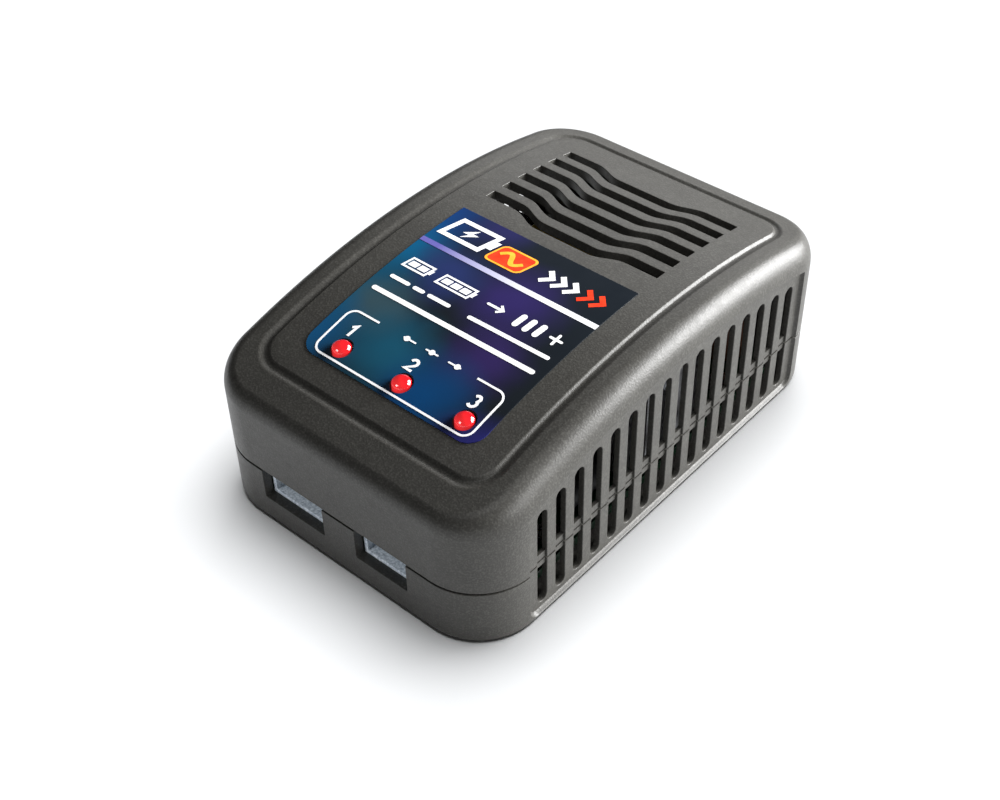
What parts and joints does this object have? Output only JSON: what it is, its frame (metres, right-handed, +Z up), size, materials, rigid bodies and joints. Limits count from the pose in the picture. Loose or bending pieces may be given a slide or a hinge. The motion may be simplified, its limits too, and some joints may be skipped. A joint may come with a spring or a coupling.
{
  "type": "balance battery charger",
  "caption": "Mains-input balance charger in a two-part vented housing with an arched top, front balance sockets, status lights and a figure-8 inlet.",
  "frame": {"origin": "middle of the underside, on the surface the charger stands on", "axes": "+Z up, +Y to the back where the mains inlet is, +X to the right seen from the front sockets"},
  "size_m": [0.0574, 0.0864, 0.0318],
  "materials": {
    "housing": "fine textured dark grey plastic with a satin sheen",
    "printed_film": "printed film in dark blue, violet and near black",
    "plain_film": "silver grey film, unprinted",
    "red_lens": "red clear epoxy lens",
    "black_plastic": "black moulded plastic",
    "tinned_metal": "tinned wire",
    "zinc_steel": "zinc plated steel",
    "board_laminate": "green solder resist on laminate",
    "white_nylon": "white moulded nylon",
    "plated_pin": "plated brass pin",
    "nickel_pin": "nickel plated brass pin",
    "brown_plastic": "brown moulded plastic",
    "green_coating": "dark green dipped coating",
    "yellow_plastic": "yellow moulded plastic",
    "ferrite": "sintered ferrite",
    "copper_wire": "enamelled copper wire",
    "black_sleeve": "shrunk black sleeve",
    "yellow_tape": "yellow polyester tape",
    "aluminium_plate": "extruded aluminium",
    "blue_coating": "blue dipped coating",
    "blue_sleeve": "shrunk dark blue sleeve",
    "black_ceramic": "glazed chip resistor"
  },
  "bodies": {
    "root": {"lower_shell": "housing", "upper_shell": "housing", "top_label": "printed_film", "rating_label": "plain_film", "led_first": "red_lens", "led_second": "red_lens", "led_third": "red_lens", "led_spacers": "black_plastic", "led_leads": "tinned_metal", "case_screws": "zinc_steel", "main_board": "board_laminate", "board_screws": "zinc_steel", "socket_four_pin": "white_nylon", "pins_four_pin": "plated_pin", "socket_three_pin": "white_nylon", "pins_three_pin": "plated_pin", "mains_inlet": "black_plastic", "inlet_pins": "nickel_pin", "fuse": "brown_plastic", "surge_thermistor": "green_coating", "x_capacitor": "yellow_plastic", "choke_core": "ferrite", "choke_windings": "copper_wire", "bridge_rectifier": "black_plastic", "bulk_capacitor": "black_sleeve", "transformer_core": "ferrite", "transformer_bobbin": "black_plastic", "transformer_winding": "yellow_tape", "power_transistor": "black_plastic", "heatsink": "aluminium_plate", "heatsink_screw": "zinc_steel", "y_capacitor": "blue_coating", "optocoupler": "white_nylon", "output_diode": "black_plastic", "output_capacitors": "blue_sleeve", "output_inductor": "ferrite", "control_chip": "black_plastic", "balance_resistors": "black_ceramic", "balance_transistors": "black_plastic"}
  },
  "joints": []
}
